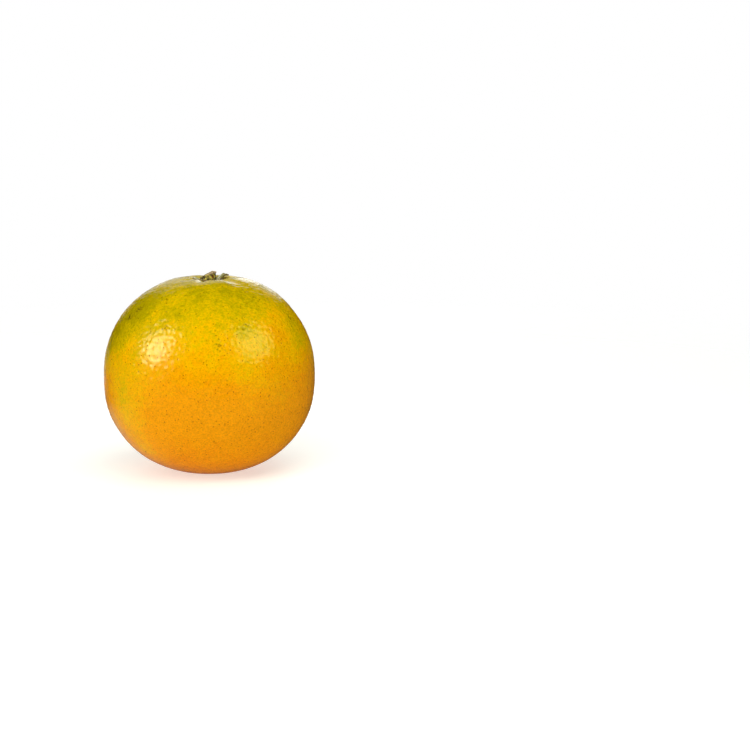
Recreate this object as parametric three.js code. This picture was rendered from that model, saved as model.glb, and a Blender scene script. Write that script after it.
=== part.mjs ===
// A whole mandarin, standing on its blossom end, with its dry calyx and a cut stalk stub on top.
// Millimetres, +Z up. The origin is the middle of the flat spot that the fruit rests on.

import * as THREE from "three";

// The fruit: a rounded body of revolution, a little wider than it is tall
const EQUATOR_DIAMETER = 64;
const UPPER_HALF_HEIGHT = 31.1; // equator to the top of the rounded body, before the dimple is pressed in
const LOWER_HALF_HEIGHT = 29.7; // equator to the bottom of the rounded body, before the flat spot
const FULLNESS = 2.17; // exponent of the section: 2 is an ellipse, more gives squarer shoulders
const FLAT_SPOT_RADIUS = 8;

// The dimple around the stalk
const DIMPLE_DEPTH = 2.6;
const DIMPLE_RADIUS = 5;

// Radial furrows that run out of the dimple: azimuth and half width in degrees, depth and length in mm
const FURROWS = [
  { azimuth: -102, halfWidth: 10, depth: 0.65, length: 13 },
  { azimuth: -72, halfWidth: 8, depth: 0.2, length: 9 },
  { azimuth: -40, halfWidth: 11, depth: 0.65, length: 16 },
  { azimuth: -8, halfWidth: 9, depth: 0.4, length: 10 },
  { azimuth: 26, halfWidth: 12, depth: 0.6, length: 12 },
  { azimuth: 61, halfWidth: 9, depth: 0.4, length: 10 },
  { azimuth: 98, halfWidth: 10, depth: 0.6, length: 13 },
  { azimuth: 143, halfWidth: 11, depth: 0.5, length: 11 },
  { azimuth: 181, halfWidth: 9, depth: 0.45, length: 10 },
  { azimuth: 216, halfWidth: 10, depth: 0.55, length: 13 },
];
const FURROW_START = 2.5; // distance from the axis where a furrow begins to sink in
const FURROW_FULL = 6; // distance from the axis where it has its whole depth
const FURROW_FADE = 0.45; // share of its length where it begins to level out

// How far the fruit is out of round: waves around the girth, as shares of its radius
const SWELLS = [
  { waves: 1, share: 0.006, azimuth: 150 },
  { waves: 2, share: 0.007, azimuth: 35 },
  { waves: 3, share: 0.004, azimuth: 80 },
];

// The calyx: a dry five-pointed star of joined sepals, with a flat seat for the stalk in its middle
const SEPAL_TIP_RADII = [6.5, 4.2, 5.2, 4.1, 3.8]; // one for each sepal, counter-clockwise from above
const SEPAL_AZIMUTH = 26; // where the first sepal points, in degrees
const CALYX_NOTCH_RADIUS = 2.8;
const SEPAL_POINT = 1.6; // exponent of a sepal's outline: more is sharper
const SEAT_THICKNESS = 1;
const SEPAL_THICKNESS = 0.6; // near the seat
const SEPAL_EDGE_THICKNESS = 0.3;

// The stalk stub: cut on a slant, low on the left and high on the right
const STALK_OFFSET = -0.45; // x of its own axis, measured from the fruit's
const STALK_RADIUS = 2.3;
const STALK_FLARE = 0.1; // extra radius where it joins the calyx
const STALK_RIGHT_HEIGHT = 1.9;
const STALK_LEFT_HEIGHT = 0.4;
const STALK_RIDGES = 7;
const STALK_RIDGE_DEPTH = 0.12;

// The stalk's section from its foot to the middle of its cut: shares of its radius and of its height
const STALK_SECTION = [
  [0, 0],
  [1, 0],
  [1, 0.3],
  [1, 0.65],
  [0.96, 1],
  [0.6, 0.94],
  [0.3, 0.9],
  [0, 0.88],
];

const GAP = 0.3; // between two pieces that touch on the real fruit

// Mesh fineness: steps around, and rows from pole to pole
const FRUIT_STEPS = 84;
const UPPER_ROWS = 26;
const LOWER_ROWS = 14;
const CALYX_STEPS = 60;
const CALYX_ROWS = 6;
const STALK_STEPS = 28;
const ROW_CROWDING = 0.4; // how much closer the rows are near a pole: 0 is even

const { degToRad, euclideanModulo, lerp, smoothstep } = THREE.MathUtils;
const GIRTH_RADIUS = EQUATOR_DIAMETER / 2;

// Height of the rounded body above or below the equator, at a distance from the axis
function rise(reach, halfHeight) {
  const share = Math.min(reach / GIRTH_RADIUS, 1);
  return halfHeight * (1 - share ** FULLNESS) ** (1 / FULLNESS);
}

// The flat spot is at height 0, so the equator is as high as the rounded body is deep there
const EQUATOR_HEIGHT = rise(FLAT_SPOT_RADIUS, LOWER_HALF_HEIGHT);

function furrowDepth(reach, azimuth) {
  let depth = 0;
  for (const furrow of FURROWS) {
    const start = smoothstep(reach, FURROW_START, FURROW_FULL);
    const end = 1 - smoothstep(reach, furrow.length * FURROW_FADE, furrow.length);
    const turn = azimuth - degToRad(furrow.azimuth);
    const aside = Math.atan2(Math.sin(turn), Math.cos(turn)) / degToRad(furrow.halfWidth);
    depth += furrow.depth * start * end * Math.exp(-aside * aside);
  }
  return depth;
}

// Height of the fruit's upper skin, with its dimple and furrows
function upperSkin(reach, azimuth) {
  const dimple = DIMPLE_DEPTH * Math.exp(-((reach / DIMPLE_RADIUS) ** 2));
  return EQUATOR_HEIGHT + rise(reach, UPPER_HALF_HEIGHT) - dimple - furrowDepth(reach, azimuth);
}

function swell(azimuth) {
  const waves = SWELLS.map((s) => s.share * Math.cos(s.waves * (azimuth - degToRad(s.azimuth))));
  return 1 + waves.reduce((sum, wave) => sum + wave, 0);
}

// Turns a profile about +Z, then mould(distance from the axis, azimuth, height) says where each point goes
function turned(profile, steps, mould) {
  const geometry = new THREE.LatheGeometry(profile, steps).rotateX(Math.PI / 2);
  const places = geometry.getAttribute("position");
  for (let i = 0; i < places.count; i += 1) {
    const [x, y] = [places.getX(i), places.getY(i)];
    const point = mould(Math.hypot(x, y), Math.atan2(y, x), places.getZ(i));
    places.setXYZ(i, point.x, point.y, point.z);
  }
  geometry.computeVertexNormals();
  return geometry;
}

function around(reach, azimuth, height) {
  return new THREE.Vector3(reach * Math.cos(azimuth), reach * Math.sin(azimuth), height);
}

// Distances from the axis of the rows between a pole and the equator, closer together near the pole
function rowReaches(rows, poleAngle) {
  return Array.from({ length: rows + 1 }, (_, row) => {
    const share = row / rows;
    const angle = lerp(poleAngle, Math.PI / 2, lerp(share, share * share, ROW_CROWDING));
    return GIRTH_RADIUS * Math.sin(angle) ** (2 / FULLNESS);
  });
}

function fruitGeometry() {
  const flatAngle = Math.asin((FLAT_SPOT_RADIUS / GIRTH_RADIUS) ** (FULLNESS / 2));
  const lower = rowReaches(LOWER_ROWS, flatAngle).map(
    (reach) => new THREE.Vector2(reach, EQUATOR_HEIGHT - rise(reach, LOWER_HALF_HEIGHT)),
  );
  const upper = rowReaches(UPPER_ROWS, 0)
    .reverse()
    .slice(1)
    .map((reach) => new THREE.Vector2(reach, EQUATOR_HEIGHT + rise(reach, UPPER_HALF_HEIGHT)));
  const profile = [new THREE.Vector2(0, 0), ...lower, ...upper];
  return turned(profile, FRUIT_STEPS, (reach, azimuth, height) =>
    around(
      reach * swell(azimuth),
      azimuth,
      height > EQUATOR_HEIGHT ? upperSkin(reach, azimuth) : Math.max(height, 0),
    ),
  );
}

// The stalk's seat is level, at the middle of the calyx
const SEAT_HEIGHT = upperSkin(0, 0) + GAP + SEAT_THICKNESS;

// Each sepal reaches furthest along its middle, and the notches are halfway between two middles
function calyxRadius(azimuth) {
  const count = SEPAL_TIP_RADII.length;
  const turns = ((azimuth - degToRad(SEPAL_AZIMUTH)) * count) / (2 * Math.PI);
  const nearest = Math.round(turns);
  const tipRadius = SEPAL_TIP_RADII[euclideanModulo(nearest, count)];
  const lobe = Math.max(Math.cos(Math.PI * (turns - nearest)), 0);
  return lerp(CALYX_NOTCH_RADIUS, tipRadius, lobe ** SEPAL_POINT);
}

// The profile holds shares of the calyx's radius, with its underside at height 0 and its top at height 1
function calyxGeometry() {
  const shares = Array.from({ length: CALYX_ROWS + 1 }, (_, row) => row / CALYX_ROWS);
  const underside = shares.map((share) => new THREE.Vector2(share, 0));
  const top = shares.toReversed().map((share) => new THREE.Vector2(share, 1));
  return turned([...underside, ...top], CALYX_STEPS, (share, azimuth, layer) => {
    const reach = share * calyxRadius(azimuth);
    const bed = upperSkin(reach, azimuth) + GAP;
    const thickness = lerp(SEPAL_THICKNESS, SEPAL_EDGE_THICKNESS, share);
    const face = Math.max(bed + thickness, share < 1 ? SEAT_HEIGHT : 0);
    return around(reach, azimuth, Math.round(layer) === 1 ? face : bed);
  });
}

function stalkGeometry() {
  const profile = STALK_SECTION.map(([share, level]) => new THREE.Vector2(share, level));
  return turned(profile, STALK_STEPS, (share, azimuth, level) => {
    const flare = STALK_FLARE * (1 - level) ** 2;
    const ridges = STALK_RIDGE_DEPTH * Math.cos(STALK_RIDGES * azimuth);
    const reach = share * (STALK_RADIUS + flare + ridges);
    const fromLeft = (reach * Math.cos(azimuth) + STALK_RADIUS) / (2 * STALK_RADIUS);
    const height = lerp(STALK_LEFT_HEIGHT, STALK_RIGHT_HEIGHT, fromLeft);
    const point = around(reach, azimuth, SEAT_HEIGHT + GAP + level * height);
    return point.setX(point.x + STALK_OFFSET);
  });
}

function piece(name, geometry, colour, roughness) {
  const material = new THREE.MeshStandardMaterial({ color: colour, roughness, metalness: 0 });
  const mesh = new THREE.Mesh(geometry, material);
  mesh.name = name;
  return mesh;
}

const mandarin = new THREE.Group();
mandarin.add(piece("fruit", fruitGeometry(), "#e9ab08", 0.42));
mandarin.add(piece("calyx", calyxGeometry(), "#6d6a2c", 0.8));
mandarin.add(piece("stalk_stub", stalkGeometry(), "#5c4a26", 0.85));

// An uneven girth is a little off centre, so the whole fruit moves to stand centred on the origin
const extent = new THREE.Box3().setFromObject(mandarin, true);
const middle = extent.getCenter(new THREE.Vector3());
mandarin.children.forEach((mesh) => mesh.position.set(-middle.x, -middle.y, 0));

export default mandarin;
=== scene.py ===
"""Looks for a whole mandarin: a pitted green-to-orange rind, a dry calyx and a slant-cut stalk stub.

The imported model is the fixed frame: metres, +Z up, with the fruit standing on its blossom end at the origin
and its photographed side towards -Y.
"""

import logging
import math
from dataclasses import dataclass, field
from enum import Enum
from typing import Any

import bmesh
import bpy
from bmesh.types import BMesh
from bpy.types import Material, Node, NodeSocket, NodeTree, Object
from mathutils import Matrix, Vector, noise


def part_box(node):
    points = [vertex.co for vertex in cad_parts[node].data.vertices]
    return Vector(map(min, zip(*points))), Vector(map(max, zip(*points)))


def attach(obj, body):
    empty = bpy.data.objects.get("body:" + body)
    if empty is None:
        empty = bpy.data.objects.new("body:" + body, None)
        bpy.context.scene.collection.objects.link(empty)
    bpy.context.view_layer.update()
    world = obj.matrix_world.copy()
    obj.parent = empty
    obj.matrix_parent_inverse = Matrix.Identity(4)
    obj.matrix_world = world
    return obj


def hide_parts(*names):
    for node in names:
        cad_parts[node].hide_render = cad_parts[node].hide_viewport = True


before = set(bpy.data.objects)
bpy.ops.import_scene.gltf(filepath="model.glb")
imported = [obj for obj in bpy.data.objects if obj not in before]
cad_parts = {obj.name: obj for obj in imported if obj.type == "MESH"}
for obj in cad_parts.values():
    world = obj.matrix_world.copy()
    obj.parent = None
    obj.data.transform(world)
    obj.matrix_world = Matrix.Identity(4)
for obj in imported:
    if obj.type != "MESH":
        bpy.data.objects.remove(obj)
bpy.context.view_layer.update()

log = logging.getLogger("mandarin")

MM = 0.001

# Points closer than this, in metres, are one point
SAME_POINT = 1e-6

BODY = "root"

# The middle value of a noise texture
NOISE_MIDDLE = 0.5

# Sockets of the Mix node when it mixes colours
MIX_FACTOR, MIX_A, MIX_B, MIX_RESULT = 0, 6, 7, 2


class Slot(Enum):
    """The record's material slots."""

    RIND = "rind"
    CALYX = "calyx"
    STALK = "stalk"


def linear(colour: str) -> tuple[float, float, float, float]:
    """Turns an sRGB hex colour to linear light.

    Args:
        colour: six hex digits after a hash mark.

    Returns:
        Linear red, green, blue and an alpha of 1.
    """
    shares = [int(colour[i : i + 2], 16) / 255 for i in (1, 3, 5)]
    red, green, blue = (s / 12.92 if s <= 0.04045 else ((s + 0.055) / 1.055) ** 2.4 for s in shares)
    return red, green, blue, 1.0


def smooth_step(value: float, low: float, high: float) -> float:
    """Eases from 0 at low to 1 at high."""
    share = min(max((value - low) / (high - low), 0.0), 1.0)
    return share * share * (3 - 2 * share)


def lerp(first: float, second: float, share: float) -> float:
    """Blends two numbers: the first at share 0, the second at share 1."""
    return first + (second - first) * share


def add_node(
    tree: NodeTree,
    kind: str,
    inputs: dict[str | int, Any] | None = None,
    stops: list[tuple[float, str]] | None = None,
    **settings: Any,
) -> Node:
    """Adds a node, sets it up and links it.

    Args:
        tree: the node tree that gets the node.
        kind: the node's type name.
        inputs: for each input, by name or number, the socket that feeds it or its plain value.
        stops: for a colour ramp, places from 0 to 1 with their hex colours.
        settings: the node's own properties.

    Returns:
        The new node.
    """
    node = tree.nodes.new(kind)
    for name, value in settings.items():
        setattr(node, name, value)
    for key, value in (inputs or {}).items():
        if isinstance(value, NodeSocket):
            tree.links.new(value, node.inputs[key])
        else:
            node.inputs[key].default_value = value
    for place, (position, colour) in enumerate(stops or []):
        elements = node.color_ramp.elements
        element = elements[place] if place < 2 else elements.new(position)
        element.position = position
        element.color = linear(colour)
    return node


def new_material(name: str) -> tuple[Material, NodeTree]:
    """Makes an empty material.

    Args:
        name: what the real surface is.

    Returns:
        The material and its node tree, with no nodes in it.
    """
    material = bpy.data.materials.new(name)
    material.use_nodes = True
    material.node_tree.nodes.clear()
    return material, material.node_tree


def soft_spot(tree: NodeTree, far: NodeSocket, size: float, amount: float, core: float = 0) -> NodeSocket:
    """Builds a soft-edged round spot from the distance to its middle.

    Args:
        tree: the node tree.
        far: the distance to the spot's middle.
        size: the spot's radius.
        amount: its value in the middle; it is 0 outside.
        core: the share of the radius that has the whole value.

    Returns:
        The spot's socket.
    """
    return add_node(
        tree,
        "ShaderNodeMapRange",
        {"Value": far, "From Min": core * size, "From Max": size, "To Min": amount, "To Max": 0.0},
        interpolation_type="SMOOTHSTEP",
    ).outputs["Result"]


def spot_at(
    tree: NodeTree, where: NodeSocket, centre: Vector | tuple[float, ...], size: float, amount: float
) -> NodeSocket:
    """Builds a soft-edged round spot around a point.

    Args:
        tree: the material's node tree.
        where: object coordinates.
        centre: the spot's middle, in metres.
        size: the spot's radius, in metres.
        amount: its value in the middle; it is 0 outside.

    Returns:
        The spot's socket.
    """
    far = add_node(tree, "ShaderNodeVectorMath", {0: where, 1: centre}, operation="DISTANCE")
    return soft_spot(tree, far.outputs["Value"], size, amount)


def surface_shader(tree: NodeTree, inputs: dict[str | int, Any]) -> None:
    """Ends a material with a Principled shader.

    Args:
        tree: the material's node tree.
        inputs: the shader's inputs, as for add_node.
    """
    shader = add_node(tree, "ShaderNodeBsdfPrincipled", inputs)
    add_node(tree, "ShaderNodeOutputMaterial", {"Surface": shader.outputs["BSDF"]})


def finish_piece(bm: BMesh, name: str, replaced: str, material: Material) -> Object:
    """Turns a bmesh into a piece of the part that stands for a CAD node.

    Args:
        bm: the shape, in metres, where it belongs. It is freed here.
        name: the piece's name.
        replaced: the CAD node that the piece stands for.
        material: the piece's finish.

    Returns:
        The new object, riding on the part's body.
    """
    bmesh.ops.recalc_face_normals(bm, faces=bm.faces)
    for face in bm.faces:
        face.smooth = True
    mesh = bpy.data.meshes.new(name)
    bm.to_mesh(mesh)
    bm.free()
    mesh.materials.append(material)
    piece = bpy.data.objects.new(name, mesh)
    bpy.context.scene.collection.objects.link(piece)
    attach(piece, BODY)
    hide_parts(replaced)
    log.info("%s: %d faces, stands for %s", name, len(mesh.polygons), replaced)
    return piece


def spun_profile(profile: list[tuple[float, float]], steps: int) -> BMesh:
    """Spins a profile that starts and ends on the axis into a closed shape.

    Args:
        profile: distances from the Z axis and heights.
        steps: steps around the axis.

    Returns:
        The closed shape.
    """
    bm = bmesh.new()
    verts = [bm.verts.new((reach, 0, height)) for reach, height in profile]
    edges = [bm.edges.new(pair) for pair in zip(verts, verts[1:])]
    bmesh.ops.spin(
        bm, geom=verts + edges, cent=(0, 0, 0), axis=(0, 0, 1), angle=math.tau, steps=steps, use_merge=True
    )
    bmesh.ops.remove_doubles(bm, verts=bm.verts, dist=SAME_POINT)
    return bm


@dataclass(frozen=True)
class Furrow:
    """A radial crease that runs out of the dimple: degrees and millimetres."""

    azimuth: float
    half_width: float
    depth: float
    length: float


@dataclass(frozen=True)
class Swell:
    """A wave around the girth that takes the fruit out of round: a share of the radius, and degrees."""

    waves: int
    share: float
    azimuth: float


@dataclass
class FruitShape:
    """The fruit's outline, which the calyx and the stalk sit in. Millimetres for a girth of 64."""

    girth: float = 64
    upper_half: float = 31.1
    lower_half: float = 29.7
    fullness: float = 2.17
    flat_spot: float = 8
    dimple_depth: float = 2.6
    dimple_radius: float = 5
    furrow_start: float = 2.5
    furrow_full: float = 6
    furrow_fade: float = 0.45
    furrows: tuple[Furrow, ...] = (
        Furrow(-102, 10, 0.65, 13),
        Furrow(-72, 8, 0.2, 9),
        Furrow(-40, 11, 0.65, 16),
        Furrow(-8, 9, 0.4, 10),
        Furrow(26, 12, 0.6, 12),
        Furrow(61, 9, 0.4, 10),
        Furrow(98, 10, 0.6, 13),
        Furrow(143, 11, 0.5, 11),
        Furrow(181, 9, 0.45, 10),
        Furrow(216, 10, 0.55, 13),
    )
    swells: tuple[Swell, ...] = (Swell(1, 0.006, 150), Swell(2, 0.007, 35), Swell(3, 0.004, 80))
    unit: float = field(init=False)
    axis: Vector = field(init=False)

    def __post_init__(self) -> None:
        """Takes the scale, in metres for a millimetre, and the axis's foot from the CAD fruit's box."""
        low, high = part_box("fruit")
        turns = [math.radians(degree) for degree in range(360)]
        across = [self.swell(turn) * math.cos(turn) * self.radius for turn in turns]
        along = [self.swell(turn) * math.sin(turn) * self.radius for turn in turns]
        self.unit = (high.x - low.x) / (max(across) - min(across))
        self.axis = Vector(
            (
                (low.x + high.x - self.unit * (max(across) + min(across))) / 2,
                (low.y + high.y - self.unit * (max(along) + min(along))) / 2,
                0,
            )
        )

    @property
    def radius(self) -> float:
        """Radius of the girth."""
        return self.girth / 2

    @property
    def equator(self) -> float:
        """Height of the equator above the flat spot."""
        return self.rise(self.flat_spot, self.lower_half)

    def rise(self, reach: float, half_height: float) -> float:
        """Gives how far the rounded body is above or below its equator.

        Args:
            reach: distance from the axis.
            half_height: the body's height there on the axis.

        Returns:
            The height.
        """
        share = min(reach / self.radius, 1)
        return half_height * (1 - share**self.fullness) ** (1 / self.fullness)

    def swell(self, azimuth: float) -> float:
        """Gives the girth's size at an azimuth in radians, as a share of the round one."""
        waves = (s.share * math.cos(s.waves * (azimuth - math.radians(s.azimuth))) for s in self.swells)
        return 1 + sum(waves)

    def furrow_depth(self, reach: float, azimuth: float) -> float:
        """Gives how deep the furrows are at a point of the upper skin.

        Args:
            reach: distance from the axis.
            azimuth: direction from the axis, in radians.

        Returns:
            The depth.
        """
        depth = 0.0
        for furrow in self.furrows:
            if reach < furrow.length:
                start = smooth_step(reach, self.furrow_start, self.furrow_full)
                end = 1 - smooth_step(reach, furrow.length * self.furrow_fade, furrow.length)
                aside = math.remainder(azimuth - math.radians(furrow.azimuth), math.tau)
                aside /= math.radians(furrow.half_width)
                depth += furrow.depth * start * end * math.exp(-aside * aside)
        return depth

    def upper_skin(self, reach: float, azimuth: float) -> float:
        """Gives the height of the upper skin, with its dimple and furrows.

        Args:
            reach: distance from the axis.
            azimuth: direction from the axis, in radians.

        Returns:
            The height above the flat spot.
        """
        dimple = self.dimple_depth * math.exp(-((reach / self.dimple_radius) ** 2))
        return self.equator + self.rise(reach, self.upper_half) - dimple - self.furrow_depth(reach, azimuth)

    def outline_point(self, azimuth: float, height: float) -> Vector:
        """Gives a point of the rounded body.

        Args:
            azimuth: direction from the axis, in radians.
            height: height above the flat spot in millimetres.

        Returns:
            The point, in metres.
        """
        half_height = self.upper_half if height > self.equator else self.lower_half
        level = abs(height - self.equator) / half_height
        reach = self.radius * (1 - level**self.fullness) ** (1 / self.fullness)
        return self.place(reach, azimuth, height)

    def place(self, reach: float, azimuth: float, height: float) -> Vector:
        """Gives a point in the frame.

        Args:
            reach: distance from the fruit's axis in millimetres.
            azimuth: direction from the axis, in radians.
            height: height above the flat spot in millimetres.

        Returns:
            The point, in metres.
        """
        return self.axis + self.unit * Vector((reach * math.cos(azimuth), reach * math.sin(azimuth), height))


@dataclass(frozen=True)
class Patch:
    """A soft-edged round patch of rind: degrees, millimetres and how much it changes the rind."""

    azimuth: float
    height: float
    size: float
    change: float

    def amount(self, tree: NodeTree, where: NodeSocket, shape: FruitShape) -> NodeSocket:
        """Builds the patch's change: whole in its middle and none outside it.

        Args:
            tree: the material's node tree.
            where: object coordinates.
            shape: the fruit's outline.

        Returns:
            The change's socket.
        """
        centre = shape.outline_point(math.radians(self.azimuth), self.height)
        return spot_at(tree, where, centre, self.size * MM, self.change)


@dataclass(frozen=True)
class Drift:
    """An unevenness of the rind's ripeness: its size in millimetres and how far it goes."""

    size: float
    amount: float


@dataclass(frozen=True)
class Rind:
    """Waxed citrus rind, grown with oil glands just under the skin.

    The eye sees it go from olive green at the stem end to orange below, in soft uneven patches, peppered
    with darker gland dots and a few brown specks. Two patches low at the front are painted light: the one
    on the left is painted shade that turns the rind more olive, and the one on the right is partly the
    rind's own orange and partly painted orange bounce light. The wax gives a clear gloss that the pits
    break up. The dots and the grain are drawn a little coarser than they grow, so that they show. Sizes
    are millimetres.
    """

    name: str = "citrus_rind"
    ripeness: tuple[tuple[float, str], ...] = (
        (0.0, "#ea9000"),
        (0.25, "#f2a000"),
        (0.42, "#f3a000"),
        (0.57, "#f3ab00"),
        (0.72, "#f0b800"),
        (0.82, "#ddb500"),
        (0.91, "#caad00"),
        (1.0, "#b09c00"),
    )
    gland_dot: str = "#b8946a"
    brown_speck: str = "#4a3510"
    gland_spacing: float = 0.85
    gland_dot_size: float = 0.3
    scuffed_dot_size: float = 0.5
    dot_core: float = 0.35
    dot_rarity: float = 2.2
    speck_spacing: float = 4.2
    speck_size: float = 0.36
    speck_rarity: float = 0.6
    speck_edge: float = 0.03
    speck_strength: float = 0.85
    scar_size: float = 2.2
    grain_size: float = 0.5
    grain_range: tuple[float, float] = (0.3, 0.7)
    grain_depth: float = 0.03
    grain_shade: tuple[float, float] = (0.85, 1.15)
    pit_radius: float = 0.3
    pit_depth: float = 0.025
    roughness: tuple[float, float] = (0.13, 0.23)
    ior: float = 1.45
    soft_light: float = 0.08
    soft_light_reach: tuple[float, float, float] = (1.0, 0.5, 0.1)
    soft_light_depth: float = 1.2
    drifts: tuple[Drift, ...] = (Drift(13, 0.28), Drift(3.2, 0.26), Drift(0.8, 0.33))
    ripeness_and_painted_light_patches: tuple[Patch, ...] = (
        Patch(-144, 51, 15, 0.12),
        # Painted shade low on the front left: the rind is turned more olive here
        Patch(-134, 8.5, 8, 0.3),
        Patch(-158, 43, 13, 0.22),
        Patch(-166, 36, 10, 0.16),
        Patch(-138, 30, 13, 0.24),
        Patch(-141, 16, 17, 0.3),
        Patch(-60, 43, 9, 0.13),
        Patch(-124, 42, 9, 0.06),
        Patch(-38, 46, 10, -0.12),
        Patch(-20, 43, 9, 0.18),
        Patch(-66, 48, 9, 0.1),
        Patch(-68, 34, 9, 0.1),
        Patch(-109, 50.5, 8, 0.1),
        Patch(-146, 41, 7, 0.1),
        # More orange low on the front right: partly the rind's own orange, partly painted orange bounce light
        Patch(-75, 28, 8, -0.12),
    )
    scuffs: tuple[Patch, ...] = (
        Patch(-147, 51.2, 2.4, 1.0),
        Patch(-151, 48.7, 2.6, 1.0),
        Patch(-19, 48.6, 3.0, 1.0),
        Patch(-74, 47.9, 1.2, 1.0),
        Patch(-81, 42, 2.2, 0.9),
        Patch(-115, 46.9, 1.5, 0.8),
        Patch(70, 44, 3.5, 0.9),
        Patch(130, 36, 2.8, 0.8),
    )

    def material(self, shape: FruitShape) -> Material:
        """Builds the rind's material.

        Args:
            shape: the fruit's outline, which says where the patches are.

        Returns:
            The material.
        """
        material, tree = new_material(self.name)
        where = add_node(tree, "ShaderNodeTexCoord").outputs["Object"]
        glands = add_node(
            tree, "ShaderNodeTexVoronoi", {"Vector": where, "Scale": 1 / (self.gland_spacing * MM)}
        )
        grain = add_node(
            tree, "ShaderNodeTexNoise", {"Vector": where, "Scale": 1 / (self.grain_size * MM), "Detail": 2.0}
        ).outputs["Fac"]
        least, most = self.grain_range
        roughness, shade = (
            add_node(
                tree,
                "ShaderNodeMapRange",
                {"Value": grain, "From Min": least, "From Max": most, "To Min": low, "To Max": high},
            ).outputs["Result"]
            for low, high in (self.roughness, self.grain_shade)
        )
        ground = self.ground_colour(tree, where, shape)
        shaded = add_node(
            tree, "ShaderNodeVectorMath", {0: ground, "Scale": shade}, operation="SCALE"
        ).outputs["Vector"]
        surface_shader(
            tree,
            {
                "Base Color": self.spots(tree, where, shape, glands, shaded),
                "Roughness": roughness,
                "Normal": self.pitted_normal(tree, glands, grain),
                "IOR": self.ior,
                "Subsurface Weight": self.soft_light,
                "Subsurface Radius": self.soft_light_reach,
                "Subsurface Scale": self.soft_light_depth * MM,
            },
        )
        return material

    def ground_colour(self, tree: NodeTree, where: NodeSocket, shape: FruitShape) -> NodeSocket:
        """Builds the green-to-orange ground of the rind, with patches, two of them painted light low at the
        front.

        Args:
            tree: the material's node tree.
            where: object coordinates.
            shape: the fruit's outline.

        Returns:
            The ground colour's socket.
        """
        height = add_node(tree, "ShaderNodeSeparateXYZ", {"Vector": where}).outputs["Z"]
        top = shape.unit * (shape.equator + shape.upper_half)
        green = add_node(tree, "ShaderNodeMath", {0: height, 1: top}, operation="DIVIDE").outputs[0]
        for drift in self.drifts:
            uneven = add_node(
                tree, "ShaderNodeTexNoise", {"Vector": where, "Scale": 1 / (drift.size * MM), "Detail": 1.0}
            ).outputs["Fac"]
            centred = add_node(
                tree, "ShaderNodeMath", {0: uneven, 1: NOISE_MIDDLE}, operation="SUBTRACT"
            ).outputs[0]
            green = add_node(
                tree, "ShaderNodeMath", {0: centred, 1: drift.amount, 2: green}, operation="MULTIPLY_ADD"
            ).outputs[0]
        for patch in self.ripeness_and_painted_light_patches:
            amount = patch.amount(tree, where, shape)
            green = add_node(tree, "ShaderNodeMath", {0: green, 1: amount}, operation="ADD").outputs[0]
        return add_node(
            tree, "ShaderNodeValToRGB", {"Fac": green}, stops=list(self.ripeness)
        ).outputs["Color"]

    def spots(
        self, tree: NodeTree, where: NodeSocket, shape: FruitShape, glands: Node, ground: NodeSocket
    ) -> NodeSocket:
        """Adds the gland dots, brown where the rind is scuffed, a few brown specks and the blossom-end scar.

        Args:
            tree: the material's node tree.
            where: object coordinates.
            shape: the fruit's outline.
            glands: the cells of the oil glands.
            ground: the ground colour.

        Returns:
            The spotted colour's socket.
        """
        chance = add_node(tree, "ShaderNodeSeparateColor", {"Color": glands.outputs["Color"]}).outputs["Red"]
        dot, scuffed_dot = (
            soft_spot(tree, glands.outputs["Distance"], size / self.gland_spacing, 1.0, self.dot_core)
            for size in (self.gland_dot_size, self.scuffed_dot_size)
        )
        strength = add_node(
            tree, "ShaderNodeMath", {0: chance, 1: self.dot_rarity}, operation="POWER"
        ).outputs[0]
        faint = add_node(tree, "ShaderNodeMath", {0: dot, 1: strength}, operation="MULTIPLY").outputs[0]
        colour = add_node(
            tree,
            "ShaderNodeMix",
            {MIX_FACTOR: faint, MIX_A: ground, MIX_B: linear(self.gland_dot)},
            data_type="RGBA",
            blend_type="MULTIPLY",
        ).outputs[MIX_RESULT]
        specks = add_node(
            tree, "ShaderNodeTexVoronoi", {"Vector": where, "Scale": 1 / (self.speck_spacing * MM)}
        )
        speck_chance = add_node(tree, "ShaderNodeSeparateColor", {"Color": specks.outputs["Color"]})
        largest = self.speck_size / self.speck_spacing
        size = add_node(
            tree,
            "ShaderNodeMapRange",
            {"Value": speck_chance.outputs["Green"], "From Min": self.speck_rarity, "To Max": largest},
        ).outputs["Result"]
        inside = add_node(
            tree, "ShaderNodeMath", {0: size, 1: specks.outputs["Distance"]}, operation="SUBTRACT"
        ).outputs[0]
        brown = add_node(
            tree,
            "ShaderNodeMapRange",
            {"Value": inside, "From Max": self.speck_edge, "To Max": self.speck_strength},
            interpolation_type="SMOOTHSTEP",
        ).outputs["Result"]
        scar = spot_at(tree, where, shape.axis, self.scar_size * MM, 1.0)
        brown = add_node(tree, "ShaderNodeMath", {0: brown, 1: scar}, operation="MAXIMUM").outputs[0]
        for scuff in self.scuffs:
            amount = scuff.amount(tree, where, shape)
            turned = add_node(
                tree, "ShaderNodeMath", {0: scuffed_dot, 1: amount}, operation="MULTIPLY"
            ).outputs[0]
            brown = add_node(tree, "ShaderNodeMath", {0: brown, 1: turned}, operation="MAXIMUM").outputs[0]
        return add_node(
            tree,
            "ShaderNodeMix",
            {MIX_FACTOR: brown, MIX_A: colour, MIX_B: linear(self.brown_speck)},
            data_type="RGBA",
        ).outputs[MIX_RESULT]

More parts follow.
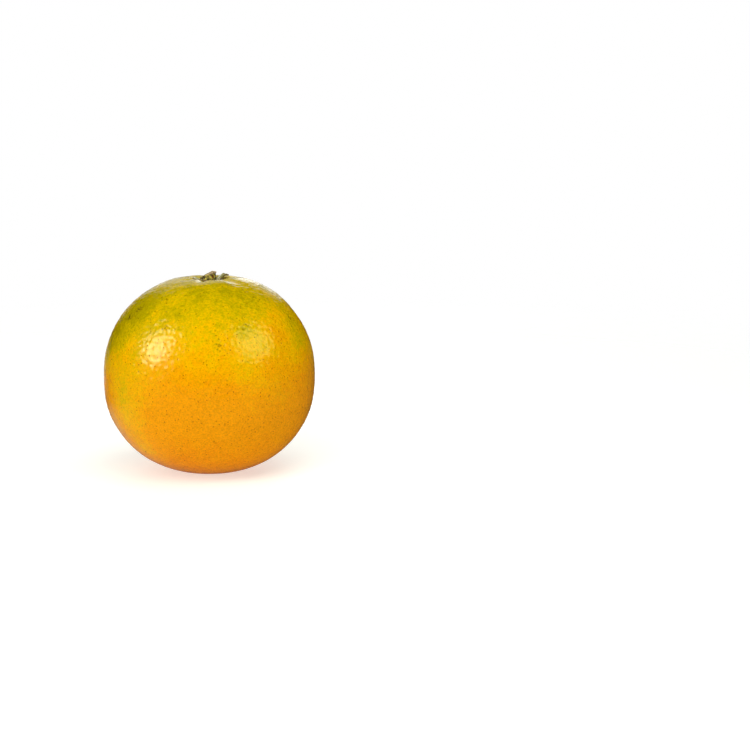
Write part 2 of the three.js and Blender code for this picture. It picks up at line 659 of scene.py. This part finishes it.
    def pitted_normal(self, tree: NodeTree, glands: Node, grain: NodeSocket) -> NodeSocket:
        """Builds the fine relief: a pit over each gland and the wax's grain.

        Args:
            tree: the material's node tree.
            glands: the cells of the oil glands.
            grain: the wax's grain.

        Returns:
            The normal's socket.
        """
        pit = soft_spot(
            tree, glands.outputs["Distance"], self.pit_radius / self.gland_spacing, -self.pit_depth * MM
        )
        relief = add_node(
            tree, "ShaderNodeMath", {0: grain, 1: self.grain_depth * MM, 2: pit}, operation="MULTIPLY_ADD"
        ).outputs[0]
        return add_node(tree, "ShaderNodeBump", {"Height": relief, "Distance": 1.0}).outputs["Normal"]


@dataclass
class Fruit:
    """The fruit itself: its outline, its slight lumps, its pitted skin and its blossom-end scar.

    Single oil-gland pits are too fine to show, so pebbles and dimples are drawn coarser than they are. Both
    fade out at the foot and grow fainter towards the stalk. Sizes are millimetres.
    """

    shape: FruitShape
    rind: Rind
    cuts: int = 127
    lump: float = 0.3
    lump_size: float = 14
    pebble: float = 0.12
    pebble_size: float = 1.05
    dimple_spacing: float = 2.1
    dimple_depth: float = 0.09
    dimple_radius: float = 0.8
    rim_relief: float = 0.35
    rim_reach: tuple[float, float] = (7, 14)
    rim_height: tuple[float, float] = (55.5, 58.5)
    stalk_reach: tuple[float, float] = (4, 9)
    lump_foot: tuple[float, float] = (0, 4)
    dimple_foot: tuple[float, float] = (0.3, 2)
    foot_rounding: float = 0.5
    scar_radius: float = 1.9
    scar_depth: float = 0.7

    def build(self) -> Object:
        """Builds the fruit from a cube that is cut fine and moved onto the outline.

        Returns:
            The piece.
        """
        bm = bmesh.new()
        bmesh.ops.create_cube(bm, size=2)
        bmesh.ops.subdivide_edges(bm, edges=bm.edges, cuts=self.cuts, use_grid_fill=True)
        for vert in bm.verts:
            even = Vector(math.tan(side * math.pi / 4) for side in vert.co)
            vert.co = self.skin_point(even.normalized())
        piece = finish_piece(bm, "mandarin_fruit", "fruit", self.rind.material(self.shape))
        self.press_dimples(piece)
        return piece

    def skin_point(self, way: Vector) -> Vector:
        """Gives the point of the skin that lies in a direction.

        Args:
            way: unit direction from the fruit's middle.

        Returns:
            The point, in metres.
        """
        shape = self.shape
        azimuth = math.atan2(way.y, way.x)
        reach = shape.radius * math.hypot(way.x, way.y) ** (2 / shape.fullness)
        height = shape.upper_skin(reach, azimuth) if way.z > 0 else self.blossom_end(reach)
        lumps = self.lump * noise.noise(way * shape.radius / self.lump_size)
        lumps += self.pebble * noise.noise(way * shape.radius / self.pebble_size)
        fade = smooth_step(height, *self.lump_foot)
        if way.z > 0:
            rim = lerp(self.rim_relief, 1, smooth_step(reach, *self.rim_reach))
            fade *= smooth_step(reach, *self.stalk_reach) * rim
        swell = shape.swell(azimuth) + fade * lumps / shape.radius
        return shape.place(reach * swell, azimuth, height + fade * lumps * max(way.z, 0))

    def blossom_end(self, reach: float) -> float:
        """Gives the height of the lower skin, with its flat spot, rounded foot and small scar.

        Args:
            reach: distance from the axis.

        Returns:
            The height above the flat spot.
        """
        shape = self.shape
        height = shape.equator - shape.rise(reach, shape.lower_half)
        near = self.foot_rounding
        if height < near:
            height = (max(height, -near) + near) ** 2 / (4 * near)
        return height + self.scar_depth * math.exp(-((reach / self.scar_radius) ** 4))

    def press_dimples(self, piece: Object) -> None:
        """Presses shallow dimples all over the skin.

        Args:
            piece: the fruit.
        """
        tree = bpy.data.node_groups.new("skin_dimples", "GeometryNodeTree")
        tree.interface.new_socket("Geometry", in_out="INPUT", socket_type="NodeSocketGeometry")
        tree.interface.new_socket("Geometry", in_out="OUTPUT", socket_type="NodeSocketGeometry")
        skin = add_node(tree, "NodeGroupInput").outputs["Geometry"]
        where = add_node(tree, "GeometryNodeInputPosition").outputs["Position"]
        far = add_node(
            tree, "ShaderNodeTexVoronoi", {"Vector": where, "Scale": 1 / (self.dimple_spacing * MM)}
        ).outputs["Distance"]
        depth = soft_spot(tree, far, self.dimple_radius / self.dimple_spacing, -self.dimple_depth * MM)
        height = add_node(tree, "ShaderNodeSeparateXYZ", {"Vector": where}).outputs["Z"]
        fades = ((self.dimple_foot, 0.0, 1.0), (self.rim_height, 1.0, self.rim_relief))
        for levels, below, above in fades:
            low, high = (level * MM for level in levels)
            fade = add_node(
                tree,
                "ShaderNodeMapRange",
                {"Value": height, "From Min": low, "From Max": high, "To Min": below, "To Max": above},
            ).outputs["Result"]
            depth = add_node(tree, "ShaderNodeMath", {0: depth, 1: fade}, operation="MULTIPLY").outputs[0]
        out = add_node(tree, "GeometryNodeInputNormal").outputs["Normal"]
        move = add_node(
            tree, "ShaderNodeVectorMath", {0: out, "Scale": depth}, operation="SCALE"
        ).outputs["Vector"]
        pressed = add_node(tree, "GeometryNodeSetPosition", {"Geometry": skin, "Offset": move})
        add_node(tree, "NodeGroupOutput", {"Geometry": pressed.outputs["Geometry"]})
        piece.modifiers.new("skin_dimples", "NODES").node_group = tree


@dataclass(frozen=True)
class DrySepal:
    """Dried sepals, papery and matt.

    The eye sees grey olive with pale veins that run out from the stalk, and withered brown along the
    margins. Sizes are millimetres.
    """

    name: str = "dry_sepal"
    shades: tuple[tuple[float, str], ...] = (
        (0.32, "#6f6b3c"),
        (0.45, "#98945e"),
        (0.55, "#b6b48a"),
        (0.68, "#dcdabc"),
    )
    margin: str = "#7d4a2c"
    margin_range: tuple[float, float] = (1.3, 1.65)
    margin_strength: float = 0.9
    vein_size: float = 0.4
    vein_relief: float = 0.15
    relief_strength: float = 0.8
    blotch_size: float = 1.6
    roughness: float = 0.75
    ior: float = 1.5

    def material(self) -> Material:
        """Builds the sepals' material.

        Returns:
            The material.
        """
        material, tree = new_material(self.name)
        where = add_node(tree, "ShaderNodeTexCoord").outputs["Object"]
        fan = add_node(tree, "ShaderNodeAttribute", attribute_name="fan").outputs["Vector"]
        veins, blotches = (
            add_node(
                tree, "ShaderNodeTexNoise", {"Vector": place, "Scale": 1 / (size * MM), "Detail": 2.0}
            ).outputs["Fac"]
            for place, size in ((fan, self.vein_size), (where, self.blotch_size))
        )
        colour = add_node(
            tree, "ShaderNodeValToRGB", {"Fac": veins}, stops=list(self.shades)
        ).outputs["Color"]
        edge = add_node(tree, "ShaderNodeAttribute", attribute_name="edge").outputs["Fac"]
        dryness = add_node(tree, "ShaderNodeMath", {0: edge, 1: blotches}, operation="ADD").outputs[0]
        fresh, dry = self.margin_range
        withered = add_node(
            tree,
            "ShaderNodeMapRange",
            {"Value": dryness, "From Min": fresh, "From Max": dry, "To Max": self.margin_strength},
        ).outputs["Result"]
        colour = add_node(
            tree,
            "ShaderNodeMix",
            {MIX_FACTOR: withered, MIX_A: colour, MIX_B: linear(self.margin)},
            data_type="RGBA",
        ).outputs[MIX_RESULT]
        bump = add_node(
            tree,
            "ShaderNodeBump",
            {"Height": veins, "Distance": self.vein_relief * MM, "Strength": self.relief_strength},
        ).outputs["Normal"]
        surface_shader(
            tree, {"Base Color": colour, "Roughness": self.roughness, "Normal": bump, "IOR": self.ior}
        )
        return material


@dataclass(frozen=True)
class Sepal:
    """One lobe of the calyx: how far its tip is from the axis and how high it arches, in millimetres."""

    reach: float
    arch: float


@dataclass
class Calyx:
    """The dry star of joined sepals in the dimple.

    Sizes are millimetres, places are shares of a sepal, and a slice says where the noise is cut.
    """

    shape: FruitShape
    finish: DrySepal
    first_azimuth: float = 26
    sepals: tuple[Sepal, ...] = (
        Sepal(6.5, 1.2),
        Sepal(4.2, 0.3),
        Sepal(5.2, 0.1),
        Sepal(4.1, 0.1),
        Sepal(3.8, 0.1),
    )
    notch_reach: float = 2.8
    point: float = 1.6
    seat_thickness: float = 1.0
    thickness: float = 0.6
    edge_thickness: float = 0.25
    lift: float = 0.05
    midrib: float = 0.18
    midrib_from: float = 0.9
    seat_edge: tuple[float, float] = (0.42, 0.75)
    curl_from: float = 0.35
    curl_change: float = 0.4
    ragged_edge: float = 0.06
    ragged_waves: float = 5
    ragged_slice: float = 0.3
    crinkle: float = 0.08
    crinkle_waves: float = 0.9
    crinkle_slice: float = 2
    vein_fan: float = 4
    vein_stretch: float = 4
    rings: int = 16
    steps: int = 160

    @property
    def seat(self) -> float:
        """Height of the level seat under the stalk."""
        return self.shape.upper_skin(0, 0) + self.seat_thickness

    def build(self) -> Object:
        """Builds the star: a spun disc that is moved onto the dimple, with ribbed and curled sepals.

        Returns:
            The piece.
        """
        shares = [ring / self.rings for ring in range(self.rings + 1)]
        profile = [(share, 0.0) for share in shares] + [(share, 1.0) for share in reversed(shares)]
        bm = spun_profile(profile, self.steps)
        edge = bm.verts.layers.float.new("edge")
        fan = bm.verts.layers.float_vector.new("fan")
        for vert in bm.verts:
            share = math.hypot(vert.co.x, vert.co.y)
            azimuth = math.atan2(vert.co.y, vert.co.x)
            vert[edge] = share
            spread = Vector((math.cos(azimuth), math.sin(azimuth), share / self.vein_stretch))
            vert[fan] = self.vein_fan * MM * spread
            vert.co = self.leaf_point(share, azimuth, on_top=vert.co.z > 0.5)
        return finish_piece(bm, "mandarin_calyx", "calyx", self.finish.material())

    def leaf_point(self, share: float, azimuth: float, on_top: bool) -> Vector:
        """Gives a point of the star.

        Args:
            share: how far out it is, from 0 on the axis to 1 on the edge.
            azimuth: direction from the axis, in radians.
            on_top: whether it is on the upper face.

        Returns:
            The point, in metres.
        """
        shape = self.shape
        turn = (azimuth - math.radians(self.first_azimuth)) * len(self.sepals) / math.tau
        sepal = self.sepals[round(turn) % len(self.sepals)]
        middle = abs(math.cos(math.pi * (turn - round(turn))))
        across, deep = math.cos(azimuth), math.sin(azimuth)
        ragged = noise.noise(Vector((across, deep, self.ragged_slice)) * self.ragged_waves)
        reach = share * lerp(self.notch_reach, sepal.reach, middle**self.point)
        reach *= 1 + self.ragged_edge * share * ragged
        flat = Vector((reach * across, reach * deep, self.crinkle_slice))
        wither = noise.noise(flat * self.crinkle_waves)
        arch = smooth_step(share, self.curl_from, 1) * middle * (1 + self.curl_change * wither)
        bed = shape.upper_skin(reach, azimuth) + self.lift + sepal.arch * arch
        if not on_top:
            return shape.place(reach, azimuth, bed)
        thickness = lerp(self.thickness, self.edge_thickness, share)
        rib = self.midrib * smooth_step(middle, self.midrib_from, 1) * (1 - share)
        seat = lerp(self.seat, bed, smooth_step(share, *self.seat_edge))
        return shape.place(reach, azimuth, max(bed + thickness + rib + self.crinkle * wither, seat))


@dataclass(frozen=True)
class CutStalk:
    """A dried fruit stalk, snipped on a slant.

    The eye sees dark olive-brown bark with yellow-green flecks and a rusty reddish-brown spot, and a
    fibrous cut. A pale cream painted highlight runs along the bark's upper edge by the cut, towards its right
    side. The fibres are drawn coarser than they are, so that they show. Sizes are millimetres.
    """

    name: str = "cut_stalk"
    bark: tuple[tuple[float, str], ...] = (
        (0.38, "#383219"),
        (0.47, "#6a6038"),
        (0.54, "#968845"),
        (0.61, "#cfc04a"),
    )
    wood: tuple[tuple[float, str], ...] = ((0.3, "#5c4c2c"), (0.5, "#93834e"), (0.7, "#cfc08c"))
    # Pale cream of a painted highlight along the bark's upper edge by the cut
    rim: str = "#d2b79a"
    # Rusty red-brown of a spot a little below halfway up the bark's front right
    reddish_spot: str = "#7a2c08"
    fleck_size: float = 0.8
    fibre_size: float = 0.25
    fibre_relief: float = 0.12
    relief_strength: float = 0.8
    roughness: float = 0.8
    ior: float = 1.5

    def material(self) -> Material:
        """Builds the stalk's material.

        Returns:
            The material.
        """
        material, tree = new_material(self.name)
        where = add_node(tree, "ShaderNodeTexCoord").outputs["Object"]
        flecks, fibres = (
            add_node(
                tree, "ShaderNodeTexNoise", {"Vector": where, "Scale": 1 / (size * MM), "Detail": 2.0}
            ).outputs["Fac"]
            for size in (self.fleck_size, self.fibre_size)
        )
        colour, wood = (
            add_node(tree, "ShaderNodeValToRGB", {"Fac": tone}, stops=list(stops)).outputs["Color"]
            for tone, stops in ((flecks, self.bark), (fibres, self.wood))
        )
        # The rim coat is a painted highlight along the bark's upper edge by the cut
        coats = {"cut": wood, "reddish_spot": linear(self.reddish_spot), "rim": linear(self.rim)}
        for attribute, coat in coats.items():
            amount = add_node(tree, "ShaderNodeAttribute", attribute_name=attribute).outputs["Fac"]
            colour = add_node(
                tree, "ShaderNodeMix", {MIX_FACTOR: amount, MIX_A: colour, MIX_B: coat}, data_type="RGBA"
            ).outputs[MIX_RESULT]
        bump = add_node(
            tree,
            "ShaderNodeBump",
            {"Height": fibres, "Distance": self.fibre_relief * MM, "Strength": self.relief_strength},
        ).outputs["Normal"]
        surface_shader(
            tree, {"Base Color": colour, "Roughness": self.roughness, "Normal": bump, "IOR": self.ior}
        )
        return material


@dataclass
class StalkStub:
    """The short stub of the stalk: ridged bark and a slanting cut, low on the left and high on the right.

    Sizes are millimetres. Levels are shares of the height, and other places are shares of the radius.
    """

    shape: FruitShape
    calyx: Calyx
    finish: CutStalk
    radius: float = 2.35
    offset: float = -0.45
    flare: float = 0.15
    left_height: float = 0.7
    right_height: float = 2.5
    flat_from: float = 0.75
    beak: float = 0.3
    beak_level: float = 0.7
    beak_side: float = 0.6
    ridges: int = 7
    ridge_depth: float = 0.13
    ridge_twist: float = 0.8
    knurl: float = 0.1
    knurl_waves: tuple[float, float] = (2, 1.5)
    pith_hollow: float = 0.25
    cut_level: float = 0.99
    cut_edge: tuple[float, float] = (0.02, 0.12)
    cut_grain: float = 0.1
    cut_grain_waves: float = 2.3
    # Where the painted highlight along the bark's upper edge by the cut lies, and how strong it is
    painted_highlight_strength: float = 0.85
    painted_highlight_levels: tuple[float, float] = (0.72, 0.9)
    painted_highlight_shares: tuple[float, float] = (0.75, 0.95)
    painted_highlight_side: tuple[float, float] = (-0.4, 0.3)
    # Where the reddish-brown spot on the bark's front right lies
    reddish_spot_azimuth: float = -42
    reddish_spot_level: float = 0.42
    reddish_spot_turn: float = 0.3
    reddish_spot_rise: float = 0.25
    reddish_spot_core: float = 0.6
    foot_ring: float = 0.5
    side_rows: int = 16
    cut_rows: int = 14
    steps: int = 96

    def build(self) -> Object:
        """Builds the stub: a spun peg that is ridged, flared and cut on a slant.

        Returns:
            The piece.
        """
        side = [(1.0, row / self.side_rows) for row in range(self.side_rows + 1)]
        cut_face = [(1 - row / self.cut_rows, 1.0) for row in range(1, self.cut_rows + 1)]
        bm = spun_profile([(0.0, 0.0), (self.foot_ring, 0.0), *side, *cut_face], self.steps)
        cut, rim, reddish_spot = (bm.verts.layers.float.new(name) for name in ("cut", "rim", "reddish_spot"))
        for vert in bm.verts:
            share = math.hypot(vert.co.x, vert.co.y)
            azimuth = math.atan2(vert.co.y, vert.co.x)
            level = vert.co.z
            vert[cut] = smooth_step(1 - share, *self.cut_edge) if level > self.cut_level else 0.0
            # A painted highlight along the bark's upper edge by the cut, fading out towards the left
            vert[rim] = self.painted_highlight_strength * smooth_step(level, *self.painted_highlight_levels)
            vert[rim] *= smooth_step(share, *self.painted_highlight_shares) * smooth_step(vert.co.x, *self.painted_highlight_side)
            # A reddish-brown spot a little below halfway up the bark's front right
            aside = math.remainder(azimuth - math.radians(self.reddish_spot_azimuth), math.tau) / self.reddish_spot_turn
            above = (level - self.reddish_spot_level) / self.reddish_spot_rise
            vert[reddish_spot] = 1 - smooth_step(math.hypot(aside, above), self.reddish_spot_core, 1)
            vert.co = self.peg_point(share, azimuth, level)
        return finish_piece(bm, "mandarin_stalk_stub", "stalk_stub", self.finish.material())

    def peg_point(self, share: float, azimuth: float, level: float) -> Vector:
        """Gives a point of the stub.

        Args:
            share: how far out it is, from 0 on the stub's own axis to 1 on the bark.
            azimuth: direction from that axis, in radians.
            level: how high it is, from 0 at the foot to 1 at the cut.

        Returns:
            The point, in metres.
        """
        ridge = self.ridge_depth * math.cos(self.ridges * azimuth + self.ridge_twist * level)
        wide, tall = self.knurl_waves
        knurl = noise.noise(Vector((wide * math.cos(azimuth), wide * math.sin(azimuth), tall * level)))
        beak = smooth_step(level, self.beak_level, 1) * smooth_step(math.cos(azimuth), self.beak_side, 1)
        bark = self.radius + self.flare * (1 - level) ** 2
        reach = share * (bark + ridge + self.knurl * knurl + self.beak * beak)
        across = reach * math.cos(azimuth)
        deep = reach * math.sin(azimuth)
        from_left = (across + self.radius) / (2 * self.radius)
        height = lerp(self.left_height, self.right_height, min(from_left / self.flat_from, 1))
        sink = 0.0
        if level > self.cut_level:
            grain = noise.noise(Vector((across, deep, 0)) * self.cut_grain_waves)
            sink = self.pith_hollow * (1 - share * share) + self.cut_grain * grain
        aside = across + self.offset
        return self.shape.place(
            math.hypot(aside, deep), math.atan2(deep, aside), self.calyx.seat + level * height - sink
        )


@dataclass(frozen=True)
class BrightSpot:
    """A round spot of the floor that shines where the rind mirrors it: metres and a strength."""

    place: tuple[float, float, float]
    radius: float
    strength: float


@dataclass(frozen=True)
class StudioSweep:
    """Matt white painted board, which the eye sees as even white with a soft beige shadow.

    The light that it sends up is warm, and the rind mirrors only a few bright spots of it.
    """

    name: str = "white_board"
    paint: str = "#c8cec2"
    glow: str = "#ffffff"
    warm_paint: str = "#c8c280"
    warm_glow: str = "#f6f0a0"
    roughness: float = 0.6
    own_glow: float = 0.55
    mirrored_glow: float = 0.03
    bright_spots: tuple[BrightSpot, ...] = (
        BrightSpot((-0.05, 0.19, 0), 0.12, 0.9),
        BrightSpot((-0.04, 0.03, 0), 0.08, 0.32),
        BrightSpot((-0.08, 0.42, 0), 0.24, 0.65),
    )
    fade_start: float = 0.12
    fade_end: float = 0.45

    def material(self) -> Material:
        """Builds the board's material, which melts into the white surround away from the fruit.

        Returns:
            The material.
        """
        material, tree = new_material(self.name)
        where = add_node(tree, "ShaderNodeTexCoord").outputs["Object"]
        ray = add_node(tree, "ShaderNodeLightPath").outputs
        paint, glow = (
            add_node(
                tree,
                "ShaderNodeMix",
                {MIX_FACTOR: ray["Is Diffuse Ray"], MIX_A: linear(seen), MIX_B: linear(sent_up)},
                data_type="RGBA",
            ).outputs[MIX_RESULT]
            for seen, sent_up in ((self.paint, self.warm_paint), (self.glow, self.warm_glow))
        )
        board = add_node(
            tree,
            "ShaderNodeBsdfPrincipled",
            {
                "Base Color": paint,
                "Roughness": self.roughness,
                "Emission Color": glow,
                "Emission Strength": self.own_glow,
            },
        ).outputs["BSDF"]
        shine: Any = self.mirrored_glow
        for spot in self.bright_spots:
            amount = spot_at(tree, where, spot.place, spot.radius, spot.strength)
            shine = add_node(tree, "ShaderNodeMath", {0: shine, 1: amount}, operation="ADD").outputs[0]
        mirrored = add_node(tree, "ShaderNodeEmission", {"Strength": shine}).outputs["Emission"]
        far = add_node(tree, "ShaderNodeVectorMath", {0: where}, operation="LENGTH").outputs["Value"]
        gone = add_node(
            tree,
            "ShaderNodeMapRange",
            {"Value": far, "From Min": self.fade_start, "From Max": self.fade_end},
            interpolation_type="SMOOTHSTEP",
        ).outputs["Result"]
        clear = add_node(tree, "ShaderNodeBsdfTransparent").outputs["BSDF"]
        faded = add_node(tree, "ShaderNodeMixShader", {0: gone, 1: board, 2: clear}).outputs["Shader"]
        both = add_node(
            tree, "ShaderNodeMixShader", {0: ray["Is Glossy Ray"], 1: faded, 2: mirrored}
        ).outputs["Shader"]
        add_node(tree, "ShaderNodeOutputMaterial", {"Surface": both})
        material.cycles.emission_sampling = "NONE"
        return material


class Purpose(Enum):
    """What a lamp box does: it lights the fruit all over, or it shows as a highlight."""

    FILL = "fill"
    GLINT = "glint"


@dataclass(frozen=True)
class Softbox:
    """A lamp box: where it is from the fruit, its size in metres and its brightness in watts."""

    name: str
    way: tuple[float, float, float]
    distance: float
    width: float
    height: float
    watts: float
    purpose: Purpose
    colour: str = "#ffffff"


@dataclass
class Studio:
    """The floor, the lamps, the white surround and the camera."""

    shape: FruitShape
    sweep: StudioSweep
    floor_radius: float = 1.5
    floor_drop: float = 0.02
    floor_sides: int = 96
    softboxes: tuple[Softbox, ...] = (
        Softbox("left_glint", (-0.745, -0.46, 0.465), 0.6, 0.34, 0.42, 2.3, Purpose.GLINT, "#fff0c4"),
        Softbox("left_core_glint", (-0.757, -0.455, 0.455), 0.6, 0.2, 0.22, 0.6, Purpose.GLINT, "#fff0c4"),
        Softbox("right_glint", (0.727, -0.396, 0.55), 0.6, 0.5, 0.36, 1.5, Purpose.GLINT, "#f8ff98"),
        Softbox("backdrop_glint", (-0.04, 0.955, 0.29), 1.1, 0.72, 0.5, 0.61, Purpose.GLINT),
        Softbox("shoulder_glint", (-0.2, 0.78, 0.56), 1.1, 0.5, 0.25, 0.19, Purpose.GLINT),
        Softbox("horizon_glint", (0.06, 0.985, 0.12), 1.1, 0.21, 0.2, 0.11, Purpose.GLINT),
        Softbox("near_rim_glint", (0.03, 0.955, 0.29), 1.1, 0.16, 0.35, 0.16, Purpose.GLINT),
        Softbox("left_rim_glint", (-0.24, 0.97, 0.07), 1.1, 0.3, 0.2, 0.1, Purpose.GLINT),
        Softbox("front_fill", (-0.17, -0.75, 0.68), 1.0, 0.9, 0.9, 6.85, Purpose.FILL),
        Softbox("top_fill", (0.0, 0.1, 1.0), 1.2, 1.6, 1.6, 2.7, Purpose.FILL),
        Softbox("left_fill", (-1.0, -0.15, 0.2), 1.2, 0.8, 0.6, 2.6, Purpose.FILL),
        Softbox("right_fill", (0.42, -0.36, 1.15), 1.2, 1.0, 1.0, 7.2, Purpose.FILL),
        Softbox("back_fill", (0.0, 1.0, 0.35), 1.2, 1.0, 1.0, 4.3, Purpose.FILL),
    )
    frame_pixels: float = 750
    equator_pixel: tuple[float, float] = (210.4, 375.8)
    pixel_size: float = 0.3056
    elevation: float = 9
    lens: float = 100
    sensor: float = 36
    nearest: float = 0.01

    @property
    def middle(self) -> Vector:
        """The middle of the fruit's equator, in metres."""
        return self.shape.place(0, 0, self.shape.equator)

    def build(self) -> None:
        """Builds the whole studio."""
        self.lay_floor()
        for softbox in self.softboxes:
            self.hang(softbox)
        self.surround()
        self.aim_camera()
        bpy.context.scene.view_settings.view_transform = "Standard"

    def lay_floor(self) -> None:
        """Lays the round white floor, a hair under the fruit's foot so that the two faces don't coincide."""
        bm = bmesh.new()
        under = Matrix.Translation((0, 0, -self.floor_drop * MM))
        bmesh.ops.create_circle(
            bm, cap_ends=True, segments=self.floor_sides, radius=self.floor_radius, matrix=under
        )
        mesh = bpy.data.meshes.new("floor")
        bm.to_mesh(mesh)
        bm.free()
        mesh.materials.append(self.sweep.material())
        floor = bpy.data.objects.new("floor", mesh)
        bpy.context.scene.collection.objects.link(floor)

    def hang(self, softbox: Softbox) -> None:
        """Hangs a softbox, facing the fruit.

        Args:
            softbox: the lamp box.
        """
        light = bpy.data.lights.new(softbox.name, "AREA")
        light.shape = "ELLIPSE"
        light.size = softbox.width
        light.size_y = softbox.height
        light.energy = softbox.watts
        light.color = linear(softbox.colour)[:3]
        # Only a highlight needs the rays that happen to hit its lamp
        light.cycles.use_multiple_importance_sampling = softbox.purpose is Purpose.GLINT
        lamp = bpy.data.objects.new(softbox.name, light)
        way = Vector(softbox.way).normalized()
        turn = way.to_track_quat("Z", "Y").to_matrix().to_4x4()
        lamp.matrix_world = Matrix.Translation(self.middle + way * softbox.distance) @ turn
        lamp.visible_diffuse = softbox.purpose is Purpose.FILL
        lamp.visible_glossy = softbox.purpose is Purpose.GLINT
        bpy.context.scene.collection.objects.link(lamp)

    def surround(self) -> None:
        """Makes the surround, which is white to look at and leaves the lighting to the lamp boxes."""
        world = bpy.data.worlds.new("white_surround")
        bpy.context.scene.world = world
        world.use_nodes = True
        tree = world.node_tree
        tree.nodes.clear()
        seen = add_node(tree, "ShaderNodeLightPath").outputs["Is Camera Ray"]
        light = add_node(tree, "ShaderNodeBackground", {"Strength": seen, "Color": (1, 1, 1, 1)})
        add_node(tree, "ShaderNodeOutputWorld", {"Surface": light.outputs["Background"]})

    def aim_camera(self) -> None:
        """Puts the camera where the fruit's equator falls on the same pixel as in the photograph."""
        camera = bpy.data.cameras.new("camera")
        camera.lens = self.lens
        camera.sensor_width = self.sensor
        camera.clip_start = self.nearest
        tilt = math.radians(self.elevation)
        ahead = Vector((0, math.cos(tilt), -math.sin(tilt)))
        upward = Vector((0, math.sin(tilt), math.cos(tilt)))
        step = self.pixel_size * MM
        distance = self.frame_pixels * step * self.lens / self.sensor
        aside = (self.equator_pixel[0] - self.frame_pixels / 2) * step
        above = (self.frame_pixels / 2 - self.equator_pixel[1]) * step
        place = self.middle - ahead * distance - Vector((aside, 0, 0)) - upward * above
        holder = bpy.data.objects.new("camera", camera)
        holder.matrix_world = Matrix.Translation(place) @ Matrix.Rotation(math.pi / 2 - tilt, 4, "X")
        bpy.context.scene.collection.objects.link(holder)
        bpy.context.scene.camera = holder


def main() -> None:
    """Builds the mandarin piece by piece, and the studio around it."""
    logging.basicConfig(level=logging.INFO, format="%(name)s: %(message)s")
    shape = FruitShape()
    Studio(shape, StudioSweep()).build()
    Fruit(shape, Rind()).build()
    calyx = Calyx(shape, DrySepal())
    calyx.build()
    StalkStub(shape, calyx, CutStalk()).build()


if __name__ == "__main__":
    main()
